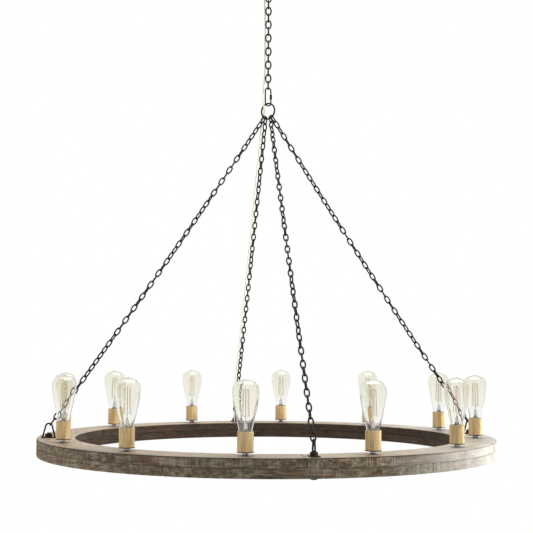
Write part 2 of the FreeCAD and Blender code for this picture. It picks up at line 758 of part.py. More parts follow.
def cord_points():
    # The cord leaves the shank, hangs beside the chain, goes through the gathering ring and follows the
    # back chain down to its bush in the rim. The first points are set across and into the view.
    upper = [from_view(0, 0, -18), from_view(0, 0, -36), from_view(-2.5, 1.5, -50), from_view(-9, 5.5, -60),
             from_view(-11.5, 7.5, -72), from_view(-11, 8.5, -90), from_view(-9.8, 8.2, -112),
             from_view(-9.4, 7.6, -160), from_view(-10.4, 8.2, -214), from_view(-9.6, 8.8, -266),
             from_view(-10.8, 7.6, -308), from_view(-14.2, 1.5, -341), from_view(-15.8, -7, -363),
             from_view(-14.6, -9.8, -381), from_view(-11, -4, -394.5), from_view(-10.3, 7, -404),
             from_view(-12.2, 16, -412), from_view(-15.6, 21.5, -426)]
    first_bar, last_bar = chain_ends(180, -size("ring_inner_spot"))[:2]
    along_chain = []
    for k in range(-2, 10):
        # Tied to a taut chain, the cord runs nearly straight beside it. Its first runs there are shorter.
        share = 0.11 + (0.088 if k > 0 else 0.041) * k
        middle, way = chain_middle(first_bar, last_bar, share)
        aside = 11.2 + 0.6 * math.sin(1.9 * k)
        under = min(5 + 1.5 * k, 7) + 0.8 * math.cos(1.3 * k)
        along_chain.append(middle + square_to(way, Vector(-1, 0, 0)) * aside - square_to(way, UP) * under)
    lower = [Vector(cord_entry.x - 1, cord_entry.y - 5, rim_top + 62), cord_entry + UP * 34,
             cord_entry + Vector(0, 0.4, 8), cord_entry - UP * (size("layer_height") + 1)]
    return upper, along_chain + lower


def cord_wire(points):
    # Straight runs joined by arcs that touch both, each as large as its two runs allow.
    edges = []
    radii = []
    here = points[0]
    for before, corner, after in zip(points, points[1:], points[2:]):
        back = before - corner
        ahead = after - corner
        cut_back = 0.45 * min(back.Length, ahead.Length)
        half_turn = (math.pi - back.getAngle(ahead)) / 2
        radius = cut_back / math.tan(half_turn)
        back.normalize()
        ahead.normalize()
        arc_start = corner + back * cut_back
        arc_end = corner + ahead * cut_back
        inward = (back + ahead).normalize()
        arc_middle = corner + inward * (radius / math.cos(half_turn) - radius)
        edges.append(Part.LineSegment(here, arc_start).toShape())
        edges.append(Part.Arc(arc_start, arc_middle, arc_end).toShape())
        radii.append(radius)
        here = arc_end
    edges.append(Part.LineSegment(here, points[-1]).toShape())
    return Part.Wire(edges), radii


def cord_tube(label, points):
    path, radii = cord_wire(points)
    way = (points[1] - points[0]).normalize()
    side = square_to(way, Vector(0.3, 0.9, 0.2))
    other = way.cross(side)
    radius = size("cord_diameter") / 2
    corners = []
    for k in range(cord_sides):
        angle = 2 * math.pi * k / cord_sides
        corners.append(points[0] + side * (radius * math.cos(angle)) + other * (radius * math.sin(angle)))
    section = Part.makePolygon(corners + corners[:1])
    tube = path.makePipeShell([section], True, False, 1)
    area = 0.5 * cord_sides * radius * radius * math.sin(2 * math.pi / cord_sides)
    share = tube.Volume / (area * path.Length)
    print(f"{label}: {path.Length:.0f} mm, least radius {min(radii):.1f}, volume {share:.4f} of section x length")
    feature(label, tube)


def supply_cord():
    upper, lower = cord_points()
    first_split = (upper[4] + upper[5]) * 0.5
    second_split = (upper[6] + upper[7]) * 0.5
    cord_tube("cord_top", upper[:5] + [first_split])
    cord_tube("cord_bend", [first_split] + upper[5:7] + [second_split])
    cord_tube("cord_run", [second_split] + upper[7:] + lower)
    entry = (cord_entry.x, cord_entry.y)
    cut("cord_bush",
        prism("bush_outer", turned_sides, "Sizes.bush_diameter / 2", "Sizes.bush_height", rim_top, 0, entry),
        prism("bush_bore", turned_sides, cord_bore, "Sizes.bush_height", rim_top, 0, entry))


# ---------------------------------------------------------------- build, test and write

rim_layers()
harness()
socket_parts()
bulbs()
bracket_parts()
hung_chains()
top_chain()
first_link()
gathering_ring()
quick_link()
ceiling_parts()
supply_cord()
doc.recompute()

part_names = ["rim_upper_segments", "rim_lower_segments", "wiring_harness", "socket_stems", "socket_discs",
              "socket_sleeves", "lampholders", "bracket_plates", "bracket_bails", "bracket_bolts",
              "bracket_washers", "bracket_nuts", "chain_left", "chain_back", "chain_front", "chain_right",
              "top_chain", "first_link", "gathering_ring", "quick_link", "quick_link_nut", "canopy",
              "crossbar", "canopy_nipple", "locknut", "canopy_collar", "ceiling_loop", "cord_top",
              "cord_bend", "cord_run", "cord_bush"]
for k in range(int(size("socket_count"))):
    part_names.append(f"bulb_glass_{k + 1:02d}")
    part_names.append(f"bulb_base_{k + 1:02d}")

for item in doc.Objects:
    if "Invalid" in item.State or "Error" in item.State:
        raise RuntimeError(f"{item.Label} failed: {item.State}")
parts = [doc.getObjectsByLabel(name)[0] for name in part_names]
for item in parts:
    if item.Shape.isNull() or not item.Shape.isValid():
        raise RuntimeError(f"{item.Label} has no sound shape")

os.makedirs("parts", exist_ok=True)
for item in parts:
    item.Shape.exportStep(f"parts/{item.Label}.step")
print(f"{len(parts)} parts, rim top at {rim_top:.2f}")
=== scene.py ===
import math

import bmesh
import bpy
import numpy as np
from mathutils import Matrix, Vector, noise


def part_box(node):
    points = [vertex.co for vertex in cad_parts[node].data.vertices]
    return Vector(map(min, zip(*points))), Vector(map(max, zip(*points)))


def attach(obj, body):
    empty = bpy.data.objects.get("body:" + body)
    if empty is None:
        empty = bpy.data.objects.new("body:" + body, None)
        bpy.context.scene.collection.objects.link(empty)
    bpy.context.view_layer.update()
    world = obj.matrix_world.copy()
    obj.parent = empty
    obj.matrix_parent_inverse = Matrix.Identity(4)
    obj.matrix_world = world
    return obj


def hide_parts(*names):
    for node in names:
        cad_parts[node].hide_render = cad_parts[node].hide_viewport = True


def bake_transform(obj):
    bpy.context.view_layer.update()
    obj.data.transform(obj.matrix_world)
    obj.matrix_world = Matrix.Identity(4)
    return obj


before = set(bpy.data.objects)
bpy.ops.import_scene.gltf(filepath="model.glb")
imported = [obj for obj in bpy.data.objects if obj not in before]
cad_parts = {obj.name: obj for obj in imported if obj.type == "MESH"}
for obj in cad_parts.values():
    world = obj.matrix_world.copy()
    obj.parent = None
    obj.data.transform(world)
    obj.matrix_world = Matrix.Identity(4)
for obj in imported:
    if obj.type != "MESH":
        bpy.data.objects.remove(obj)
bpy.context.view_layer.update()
print("frame loaded")

wheel = "hanging_wheel"
ceiling = "ceiling_fitting"
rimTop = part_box("rim_upper_segments")[1].z
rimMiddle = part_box("rim_lower_segments")[1].z
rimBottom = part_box("rim_lower_segments")[0].z
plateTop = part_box("bracket_plates")[1].z
viewTurn = math.radians(-10.85)
acrossView = Vector((math.cos(viewTurn), math.sin(viewTurn), 0))
depthView = Vector((-math.sin(viewTurn), math.cos(viewTurn), 0))
up = Vector((0, 0, 1))


# camera, fitted to the photo
photoCamera = {"place": (0.03024, -2.99181, 0.23682), "yaw": 0.624, "pitch": 4.554, "roll": 0.267,
               "lens": 71.446, "sensor": 36, "far": 60}


def addCamera():
    data = bpy.data.cameras.new("camera")
    data.lens = photoCamera["lens"]
    data.sensor_width = photoCamera["sensor"]
    data.clip_end = photoCamera["far"]
    cameraObject = bpy.data.objects.new("camera", data)
    bpy.context.scene.collection.objects.link(cameraObject)
    turn = Matrix.Rotation(viewTurn, 4, "Z") @ Matrix.Translation(photoCamera["place"])
    turn = turn @ Matrix.Rotation(math.radians(photoCamera["yaw"]), 4, "Z")
    turn = turn @ Matrix.Rotation(math.radians(90 + photoCamera["pitch"]), 4, "X")
    turn = turn @ Matrix.Rotation(math.radians(photoCamera["roll"]), 4, "Z")
    cameraObject.matrix_world = Matrix.Translation((0, 0, rimTop)) @ turn
    bpy.context.scene.camera = cameraObject


addCamera()


# small helpers for materials
def newMaterial(name, **sockets):
    material = bpy.data.materials.new(name)
    material.use_nodes = True
    shader = material.node_tree.nodes["Principled BSDF"]
    for socket, value in sockets.items():
        shader.inputs[socket.replace("_", " ")].default_value = value
    return material, material.node_tree, shader


def addNode(tree, kind, inputs=None, **settings):
    node = tree.nodes.new("ShaderNode" + kind)
    for key, value in settings.items():
        setattr(node, key, value)
    for key, value in (inputs or {}).items():
        socket = node.inputs[key]
        if isinstance(value, bpy.types.NodeSocket):
            tree.links.new(value, socket)
        else:
            socket.default_value = value
    return node


def addMath(tree, operation, *values, clamp=False):
    node = addNode(tree, "Math", dict(enumerate(values)), operation=operation, use_clamp=clamp)
    return node.outputs[0]


def addRamp(tree, value, *stops):
    node = addNode(tree, "ValToRGB", {0: value})
    ramp = node.color_ramp
    while len(ramp.elements) < len(stops):
        ramp.elements.new(0.5)
    for element, (place, colour) in zip(ramp.elements, stops):
        element.position = place
        element.color = (*colour, 1) if len(colour) == 3 else colour
    return node.outputs[0]


def addMix(tree, share, first, second, blend="MIX"):
    node = addNode(tree, "Mix", {0: share, 6: first, 7: second}, data_type="RGBA", blend_type=blend)
    return node.outputs[2]


def addBump(tree, shader, height, strength, distance):
    bump = addNode(tree, "Bump", {"Height": height, "Strength": strength, "Distance": distance})
    tree.links.new(bump.outputs[0], shader.inputs["Normal"])


def grey(value):
    return (value, value, value)


def srgb(red, green, blue):
    # colours are noted as they look in a picture, 0 to 255
    def linear(value):
        value = value / 255
        return value / 12.92 if value <= 0.04045 else ((value + 0.055) / 1.055) ** 2.4
    return (linear(red), linear(green), linear(blue))


def objectPoint(tree, scale=(1, 1, 1)):
    place = addNode(tree, "TexCoord").outputs["Object"]
    return addNode(tree, "Mapping", {"Vector": place, "Scale": scale}).outputs[0]


def addNoise(tree, point, scale, detail=4, roughness=0.55, distortion=0.0):
    return addNode(tree, "TexNoise", {"Vector": point, "Scale": scale, "Detail": detail,
                                      "Roughness": roughness, "Distortion": distortion}).outputs[0]


# weathered wood of the rim
rimWood = {
    "outer": (srgb(105, 92, 74), srgb(50, 40, 31), srgb(162, 147, 122)),
    "inner": (srgb(77, 61, 47), srgb(42, 31, 24)),
    # the top colours are partly the wood's own paler colour and partly painted light from above
    "top": (srgb(170, 151, 126), srgb(114, 98, 79)),
    "sawMark": srgb(176, 166, 142), "rust": srgb(96, 58, 42), "moss": srgb(84, 90, 68),
    "edge": srgb(48, 37, 30), "knot": srgb(44, 34, 28),
    # the pale colour and the turn at the end of the next line are a painted highlight on the right side of the
    # rim
    "innerRadius": 0.530, "outerRadius": 0.630, "paintedHighlight": srgb(202, 196, 186), "paintedHighlightTurn": 80,
}


def woodRimMaterial():
    material, tree, shader = newMaterial("weatheredWood", Specular_IOR_Level=0.22)
    grain = addNode(tree, "Attribute", attribute_name="grain").outputs["Vector"]
    board = addNode(tree, "Attribute", attribute_name="board").outputs["Fac"]

    def stretchedNoise(stretch, scale, detail, roughness=0.55, distortion=0.0):
        point = addNode(tree, "Mapping", {"Vector": grain, "Scale": stretch}).outputs[0]
        return addNoise(tree, point, scale, detail, roughness, distortion)

    streak = stretchedNoise((1.2, 30, 30), 6, 6, 0.65, 0.5)
    speckle = stretchedNoise((1, 1, 1), 420, 3, 0.6)
    blotch = stretchedNoise((1, 1, 2), 15, 4, 0.6)
    tint = stretchedNoise((1, 1, 2.5), 19, 3, 0.6)
    patch = stretchedNoise((1, 1, 1), 8, 2)

    # saw marks run up the outer face in uneven clusters
    marks = addRamp(tree, stretchedNoise((46, 3, 3), 7, 3, 0.6), (0.5, grey(0)), (0.62, grey(1)))
    sawing = addMath(tree, "MULTIPLY", marks, addRamp(tree, patch, (0.44, grey(0)), (0.66, grey(1))))

    plain, dark, pale = rimWood["outer"]
    outer = addRamp(tree, streak, (0.32, dark), (0.5, plain), (0.72, pale))
    outer = addMix(tree, addMath(tree, "MULTIPLY", sawing, 0.62), outer, (*rimWood["sawMark"], 1))
    rusty = addRamp(tree, tint, (0.54, grey(0)), (0.66, grey(0.52)))
    outer = addMix(tree, rusty, outer, (*rimWood["rust"], 1))
    mossy = addRamp(tree, tint, (0.34, grey(0.42)), (0.46, grey(0)))
    outer = addMix(tree, mossy, outer, (*rimWood["moss"], 1))
    knots = addNode(tree, "TexVoronoi", {"Vector": grain, "Scale": 20}).outputs["Distance"]
    knots = addRamp(tree, knots, (0.04, grey(0.85)), (0.1, grey(0)))
    outer = addMix(tree, knots, outer, (*rimWood["knot"], 1))

    place = addNode(tree, "SeparateXYZ", {0: addNode(tree, "TexCoord").outputs["Object"]})
    radius = addMath(tree, "SQRT", addMath(tree, "ADD", addMath(tree, "POWER", place.outputs[0], 2),
                                           addMath(tree, "POWER", place.outputs[1], 2)))
    inside = addNode(tree, "MapRange", {0: radius, 1: rimWood["innerRadius"], 2: rimWood["innerRadius"] + 0.002,
                                        3: 1.0, 4: 0.0}).outputs[0]
    inner = addRamp(tree, streak, (0.3, rimWood["inner"][1]), (0.72, rimWood["inner"][0]))
    colour = addMix(tree, inside, outer, inner)
    # the top face is painted paler: partly the wood's own colour, partly painted light from above
    above = addNode(tree, "MapRange", {0: place.outputs[2], 1: rimTop - 0.0012, 2: rimTop - 0.0005}).outputs[0]
    top = addRamp(tree, streak, (0.3, rimWood["top"][1]), (0.6, rimWood["top"][0]))
    colour = addMix(tree, above, colour, top)
    # painted highlight: the right side of the wheel, where the light from the right falls, is painted paler and
    # greyer
    side = math.radians(rimWood["paintedHighlightTurn"])
    highlightShare = addMath(tree, "SUBTRACT", addMath(tree, "MULTIPLY", place.outputs[0], math.sin(side)),
                    addMath(tree, "MULTIPLY", place.outputs[1], math.cos(side)))
    highlightShare = addNode(tree, "MapRange", {0: highlightShare, 1: 0.26, 2: 0.56, 3: 0.0, 4: 0.6}).outputs[0]
    highlightShare = addMath(tree, "MULTIPLY", highlightShare, addMath(tree, "SUBTRACT", 1.0, inside))
    colour = addMix(tree, highlightShare, colour, (*rimWood["paintedHighlight"], 1))
    corner = addMath(tree, "MAXIMUM", addMath(tree, "SUBTRACT", rimTop, place.outputs[2]),
                     addMath(tree, "SUBTRACT", rimWood["outerRadius"], radius))
    worn = addNode(tree, "MapRange", {0: corner, 1: 0.0018, 2: 0.0032, 3: 0.85, 4: 0.0}).outputs[0]
    # the dark edge is washed out under the painted highlight
    worn = addMath(tree, "MULTIPLY", worn, addMath(tree, "SUBTRACT", 1.0, highlightShare))
    colour = addMix(tree, worn, colour, (*rimWood["edge"], 1))

    shade = addMath(tree, "ADD", 0.76, addMath(tree, "MULTIPLY", board, 0.4))
    for least, gain, pattern in ((0.4, 1.2, blotch), (0.66, 0.68, speckle)):
        uneven = addMath(tree, "ADD", least, addMath(tree, "MULTIPLY", pattern, gain))
        shade = addMath(tree, "MULTIPLY", shade, uneven)
    bright = addNode(tree, "CombineXYZ", {0: shade, 1: shade, 2: shade}).outputs[0]
    colour = addMix(tree, 1.0, colour, bright, "MULTIPLY")
    tree.links.new(colour, shader.inputs["Base Color"])
    # the top is rubbed smoother than the sawn sides
    rough = addNode(tree, "MapRange", {0: above, 1: 0.0, 2: 1.0, 3: 0.75, 4: 0.42}).outputs[0]
    tree.links.new(rough, shader.inputs["Roughness"])
    height = addMath(tree, "MULTIPLY", streak, 0.7)
    for pattern, depth in ((speckle, 0.2), (sawing, 0.4)):
        height = addMath(tree, "ADD", height, addMath(tree, "MULTIPLY", pattern, depth))
    addBump(tree, shader, height, 0.6, 0.0012)
    return material


def paleWoodMaterial():
    material, tree, shader = newMaterial("paleMaple", Roughness=0.42)
    shader.inputs["Coat Weight"].default_value = 0.35
    shader.inputs["Coat Roughness"].default_value = 0.18
    point = addNode(tree, "Attribute", attribute_name="grain").outputs["Vector"]
    stretched = addNode(tree, "Mapping", {"Vector": point, "Scale": (60, 60, 5)}).outputs[0]
    streak = addNoise(tree, stretched, 3, 4, 0.6, 0.4)
    colour = addRamp(tree, streak, (0.3, srgb(156, 125, 75)), (0.5, srgb(195, 165, 111)),
                     (0.72, srgb(219, 193, 142)))
    tree.links.new(colour, shader.inputs["Base Color"])
    addBump(tree, shader, streak, 0.15, 0.0006)
    return material


def metalMaterial(name, dark, light, roughness, metallic=1.0, scale=40, bump=0.12, gloss=0.5):
    material, tree, shader = newMaterial(name, Metallic=metallic, Specular_IOR_Level=gloss)
    point = objectPoint(tree)
    cloud = addNoise(tree, point, scale, 5, 0.6)
    grainy = addNoise(tree, point, scale * 22, 2, 0.5)
    tree.links.new(addRamp(tree, cloud, (0.35, dark), (0.7, light)), shader.inputs["Base Color"])
    rough = addNode(tree, "MapRange", {0: cloud, 1: 0.3, 2: 0.7, 3: roughness - 0.06,
                                       4: roughness + 0.1}).outputs[0]
    tree.links.new(rough, shader.inputs["Roughness"])
    addBump(tree, shader, grainy, bump, 0.0002)
    return material


def glassMaterial():
    # clear glass with a faint straw tint, darker where it is seen edge on
    material, tree, shader = newMaterial("clearGlass", Roughness=0.0, IOR=1.47)
    shader.inputs["Transmission Weight"].default_value = 1.0
    facing = addNode(tree, "LayerWeight", {"Blend": 0.5}).outputs["Facing"]
    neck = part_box("bulb_glass_01")[0].z
    place = addNode(tree, "SeparateXYZ", {0: addNode(tree, "TexCoord").outputs["Object"]}).outputs[2]
    height = addNode(tree, "MapRange", {0: place, 1: neck, 2: neck + 0.12}).outputs[0]
    colour = addRamp(tree, height, (0.12, (0.955, 0.955, 0.945)), (0.5, (0.93, 0.928, 0.865)),
                     (1, (0.9, 0.892, 0.82)))
    edge = addRamp(tree, facing, (0.66, grey(0)), (0.92, grey(1)))
    colour = addMix(tree, edge, colour, (0.3, 0.31, 0.27, 1))
    tree.links.new(colour, shader.inputs["Base Color"])
    return material


def plainMaterial(name, colour, roughness, variation=0.06, scale=60, bump=0.1):
    material, tree, shader = newMaterial(name)
    cloud = addNoise(tree, objectPoint(tree), scale, 4, 0.55)
    low = tuple(value * (1 - variation) for value in colour)
    high = tuple(min(1, value * (1 + variation)) for value in colour)
    tree.links.new(addRamp(tree, cloud, (0.3, low), (0.7, high)), shader.inputs["Base Color"])
    shader.inputs["Roughness"].default_value = roughness
    addBump(tree, shader, addNoise(tree, objectPoint(tree), scale * 15, 2, 0.5), bump, 0.0002)
    return material


def filamentMaterial():
    material, tree, shader = newMaterial("goldFilament", Roughness=0.4, Metallic=0.5)
    cloud = addNoise(tree, objectPoint(tree), 300, 2, 0.5)
    tree.links.new(addRamp(tree, cloud, (0.3, srgb(204, 146, 66)), (0.7, srgb(230, 182, 104))),
                   shader.inputs["Base Color"])
    return material


def mountMaterial():
    # pressed glass, milky where it is pinched
    material, tree, shader = newMaterial("mountGlass", Roughness=0.4, IOR=1.45)
    shader.inputs["Transmission Weight"].default_value = 0.75
    cloud = addNoise(tree, objectPoint(tree), 260, 3, 0.6)
    tree.links.new(addRamp(tree, cloud, (0.3, srgb(236, 237, 234)), (0.7, srgb(252, 252, 250))),
                   shader.inputs["Base Color"])
    return material


def cordMaterial():
    # clear jacket over two stranded cores: pale gold with a soft sheen
    material, tree, shader = newMaterial("cordJacket", Roughness=0.28)
    along = addNode(tree, "UVMap", uv_map="UVMap").outputs[0]
    cores = addNode(tree, "TexWave", {"Vector": along, "Scale": 0.5, "Distortion": 0.4, "Detail": 1},
                    bands_direction="Y").outputs[1]
    colour = addRamp(tree, cores, (0.2, srgb(214, 196, 158)), (0.7, srgb(238, 228, 204)))
    tree.links.new(colour, shader.inputs["Base Color"])
    shader.inputs["Coat Weight"].default_value = 0.5
    return material


weatheredWood = woodRimMaterial()
paleMaple = paleWoodMaterial()
darkIron = metalMaterial("darkIron", srgb(10, 8, 7), srgb(48, 33, 24), 0.38, 0.3, gloss=0.25)
chrome = metalMaterial("chrome", srgb(92, 93, 97), srgb(232, 233, 238), 0.16, 0.95, 190, 0.02)
brass = metalMaterial("capBrass", srgb(188, 150, 88), srgb(216, 184, 122), 0.25, 1.0, 60, 0.05)
zinc = metalMaterial("zincSteel", srgb(150, 150, 150), srgb(186, 186, 184), 0.35, 1.0, 70, 0.08)
clearGlass = glassMaterial()
mountGlass = mountMaterial()
holderPlastic = plainMaterial("holderPlastic", srgb(38, 35, 33), 0.45)
goldFilament = filamentMaterial()
cordJacket = cordMaterial()
wireJacket = plainMaterial("wireJacket", srgb(206, 200, 184), 0.4)
print("materials made")


# small helpers for pieces
def finishPiece(name, bm, materials, body, stands=(), angle=35, modifiers=()):
    mesh = bpy.data.meshes.new(name)
    bm.normal_update()
    bm.to_mesh(mesh)
    bm.free()
    piece = bpy.data.objects.new(name, mesh)
    bpy.context.scene.collection.objects.link(piece)
    for material in materials if isinstance(materials, (list, tuple)) else [materials]:
        mesh.materials.append(material)
    for polygon in mesh.polygons:
        polygon.use_smooth = True
    if angle:
        mesh.set_sharp_from_angle(angle=math.radians(angle))
    for kind, settings in modifiers:
        modifier = piece.modifiers.new(kind.title(), kind)
        for key, value in settings.items():
            setattr(modifier, key, value)
    if body:
        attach(piece, body)
    if stands:
        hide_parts(*stands)
    return piece


def turned(profile, steps=32):
    # spins a profile of (radius, height) pairs about the z axis
    bm = bmesh.new()
    points = [bm.verts.new((radius, 0, height)) for radius, height in profile]
    edges = [bm.edges.new(pair) for pair in zip(points, points[1:])]
    bmesh.ops.spin(bm, geom=points + edges, cent=(0, 0, 0), axis=(0, 0, 1), dvec=(0, 0, 0),
                   angle=2 * math.pi, steps=steps, use_merge=True, use_duplicate=False)
    bmesh.ops.remove_doubles(bm, verts=bm.verts, dist=0.00001)
    bmesh.ops.recalc_face_normals(bm, faces=bm.faces)
    return bm


def joined(*forms):
    # one bmesh from several (bmesh, material index) pairs
    whole = bmesh.new()
    for bm, index in forms:
        for face in bm.faces:
            face.material_index = index
        part = bpy.data.meshes.new("part")
        bm.to_mesh(part)
        bm.free()
        whole.from_mesh(part)
        bpy.data.meshes.remove(part)
    return whole


def copies(bm, matrices):
    part = bpy.data.meshes.new("part")
    bm.to_mesh(part)
    bm.free()
    whole = bmesh.new()
    for matrix in matrices:
        turnedPart = part.copy()
        turnedPart.transform(matrix)
        whole.from_mesh(turnedPart)
        bpy.data.meshes.remove(turnedPart)
    bpy.data.meshes.remove(part)
    return whole


def bevelSharp(bm, width, segments=2, angle=30):
    sharp = [edge for edge in bm.edges if edge.is_manifold and edge.calc_face_angle(0) > math.radians(angle)]
    bmesh.ops.bevel(bm, geom=sharp, offset=width, offset_type="OFFSET", segments=segments, affect="EDGES",
                    profile=0.5, material=-1, clamp_overlap=True)
    return bm


def prismForm(sides, radius, low, high, turn=0.0):
    bm = bmesh.new()
    bmesh.ops.create_cone(bm, cap_ends=True, segments=sides, radius1=radius, radius2=radius, depth=high - low)
    bmesh.ops.rotate(bm, verts=bm.verts, cent=(0, 0, 0), matrix=Matrix.Rotation(turn, 3, "Z"))
    bmesh.ops.translate(bm, verts=bm.verts, vec=(0, 0, (low + high) / 2))
    return bm


def curveMesh(data):
    # the curve's round wire as a mesh
    holder = bpy.data.objects.new(data.name, data)
    bpy.context.scene.collection.objects.link(holder)
    mesh = bpy.data.meshes.new_from_object(holder.evaluated_get(bpy.context.evaluated_depsgraph_get()))
    bpy.data.objects.remove(holder)
    return mesh


def meshForm(mesh):
    bm = bmesh.new()
    bm.from_mesh(mesh)
    bpy.data.meshes.remove(mesh)
    return bm


def onRim(circle, turn, z=0.0):
    # a place on the rim: angles count from the front towards the right
    turn = math.radians(turn)
    place = Matrix.Translation((circle * math.sin(turn), -circle * math.cos(turn), z))
    return place @ Matrix.Rotation(turn, 4, "Z")


def storeGrain(mesh, values, name="grain"):
    layer = mesh.attributes.new(name, "FLOAT_VECTOR", "POINT")
    layer.data.foreach_set("vector", np.array(values, np.float32).ravel())


# rim: two layers of six curved boards
rim = {"outer": 0.630, "inner": 0.528, "boards": 6, "gap": 0.0004, "edge": 0.0022, "steps": 26,
       "wobble": 0.0005, "waves": 16, "tones": (0.7, 0.2, 0.5, 0.8, 0.6, 0.25)}


def rimBoard(low, high, firstTurn, turn):
    # one board: a rounded section spun through its sixth of the circle
    halfGap = rim["gap"] / 2 / rim["inner"]
    bm = bmesh.new()
    corners = [(rim["inner"], low), (rim["outer"], low), (rim["outer"], high), (rim["inner"], high)]
    points = [bm.verts.new((0, -radius, height)) for radius, height in corners]
    face = bm.faces.new(points)
    bmesh.ops.subdivide_edges(bm, edges=face.edges[:], cuts=3, use_grid_fill=True)
    bmesh.ops.rotate(bm, verts=bm.verts, cent=(0, 0, 0), matrix=Matrix.Rotation(firstTurn + halfGap, 3, "Z"))
    bmesh.ops.spin(bm, geom=bm.verts[:] + bm.edges[:] + bm.faces[:], cent=(0, 0, 0), axis=(0, 0, 1),
                   dvec=(0, 0, 0), angle=turn - 2 * halfGap, steps=rim["steps"], use_merge=False,
                   use_duplicate=False)
    bmesh.ops.remove_doubles(bm, verts=bm.verts, dist=0.00001)
    bmesh.ops.recalc_face_normals(bm, faces=bm.faces)
    return bm


def rimLayer(name, node, low, high, firstTurn, shift):
    # each board has its own grain direction, its own place in the pattern and its own tone
    whole = bmesh.new()
    grain = []
    tone = []
    boardTurn = 2 * math.pi / rim["boards"]
    for k in range(rim["boards"]):
        turn = math.radians(firstTurn) + boardTurn * k
        bm = rimBoard(low, high, turn, boardTurn)
        bevelSharp(bm, rim["edge"], 2, 50)
        middle = turn + boardTurn / 2
        along = Vector((math.cos(middle), math.sin(middle), 0))
        outward = Vector((math.sin(middle), -math.cos(middle), 0))
        offset = Vector((3.7 * k + shift, 1.3 * k, 0.9 * k + shift))
        for vert in bm.verts:
            wave = noise.noise_vector(vert.co * rim["waves"] + offset) * rim["wobble"]
            away = Vector((vert.co.x, vert.co.y, 0)).normalized()
            fromEdge = min(1.0, abs(vert.co.xy.length - rim["inner"]) / 0.004 + 0.3)
            vert.co += away * min(0.0, wave.x) * fromEdge
        part = bpy.data.meshes.new("part")
        bm.to_mesh(part)
        bm.free()
        for vert in part.vertices:
            grain.append((vert.co.dot(along) + offset.x, vert.co.dot(outward) + offset.y, vert.co.z + offset.z))
        tone += [rim["tones"][(k + shift) % rim["boards"]]] * len(part.vertices)
        whole.from_mesh(part)
        bpy.data.meshes.remove(part)
    piece = finishPiece(name, whole, weatheredWood, wheel, [node], 40)
    storeGrain(piece.data, grain)
    layer = piece.data.attributes.new("board", "FLOAT", "POINT")
    layer.data.foreach_set("value", np.array(tone, np.float32))


rimLayer("rimUpperBoards", "rim_upper_segments", rimMiddle, rimTop, -2, 0)
rimLayer("rimLowerBoards", "rim_lower_segments", rimBottom, rimMiddle, 28, 2)
bpy.data.objects["wiring_harness"].data.materials.clear()
bpy.data.objects["wiring_harness"].data.materials.append(wireJacket)
print("rim made")


# sockets: chrome stem, dark disc, pale sleeve and the holder inside it
socket = {"circle": 0.578, "firstTurn": 15, "count": 12, "coupling": 0.0078, "rod": 0.005, "hole": 0.0055,
          "disc": 0.0199, "sleeve": 0.01875, "bore": 0.0165, "holder": 0.0160, "grainStep": 1.7}
socketTurns = [socket["firstTurn"] + 360 / socket["count"] * k for k in range(socket["count"])]
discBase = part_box("socket_discs")[0].z
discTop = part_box("socket_discs")[1].z
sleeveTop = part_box("socket_sleeves")[1].z
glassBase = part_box("bulb_glass_01")[0].z
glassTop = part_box("bulb_glass_01")[1].z


def makeSockets():
    spots = [onRim(socket["circle"], turn) for turn in socketTurns]
    stem = joined((bevelSharp(prismForm(6, socket["coupling"], rimTop, discBase), 0.0008), 0),
                  (prismForm(20, socket["rod"], rimMiddle, discTop), 0))
    finishPiece("socketStems", copies(stem, spots), chrome, wheel, ["socket_stems"])
    hole, edge = socket["hole"], socket["disc"]
    disc = turned([(hole, discBase), (edge - 0.0007, discBase), (edge, discBase + 0.0004),
                   (edge, discTop - 0.0004), (edge - 0.0007, discTop), (hole, discTop), (hole, discBase)], 40)
    finishPiece("socketDiscs", copies(disc, spots), darkIron, wheel, ["socket_discs"])
    low = discTop + 0.0001
    bore, wide = socket["bore"], socket["sleeve"]
    sleeve = turned([(bore, low), (wide - 0.00065, low), (wide, low + 0.0007), (wide, sleeveTop - 0.0007),
                     (wide - 0.00045, sleeveTop - 0.0001), (wide - 0.00115, sleeveTop),
                     (bore, sleeveTop - 0.0005), (bore, low)], 48)
    sleeves = finishPiece("socketSleeves", copies(sleeve, spots), paleMaple, wheel, ["socket_sleeves"])
    # each sleeve takes its own place in the grain
    points = []
    size = len(sleeves.data.vertices) // len(spots)
    for index, vert in enumerate(sleeves.data.vertices):
        points.append(vert.co + up * (index // size) * socket["grainStep"])
    storeGrain(sleeves.data, points)
    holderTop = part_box("lampholders")[1].z
    wide = socket["holder"]
    holder = turned([(0, low + 0.004), (wide - 0.0027, low + 0.004), (wide - 0.0027, holderTop - 0.001),
                     (wide - 0.0020, holderTop), (wide - 0.0002, holderTop), (wide, holderTop - 0.0006),
                     (wide, low), (0, low)], 32)
    finishPiece("lampHolders", copies(holder, spots), holderPlastic, wheel, ["lampholders"])


makeSockets()
print("sockets made")


# bulbs: long pear-shaped glass with a cage of filament
bulb = {
    "profile": [(0.0153, 0), (0.0158, 0.006), (0.0187, 0.020), (0.0218, 0.034), (0.0252, 0.049),
                (0.0290, 0.068),
                (0.0313, 0.083), (0.0320, 0.0915), (0.0311, 0.101), (0.0275, 0.1095), (0.0212, 0.1148),
                (0.0135, 0.1178), (0.0062, 0.1192), (0.0034, 0.1202), (0.0022, 0.1210), (0, 0.1210)],
    "wall": 0.0009, "cageLow": 0.036, "cageHigh": 0.097, "cageWide": 0.0088, "strands": 4, "wire": 0.0004,
    "crest": 0.0129,
}


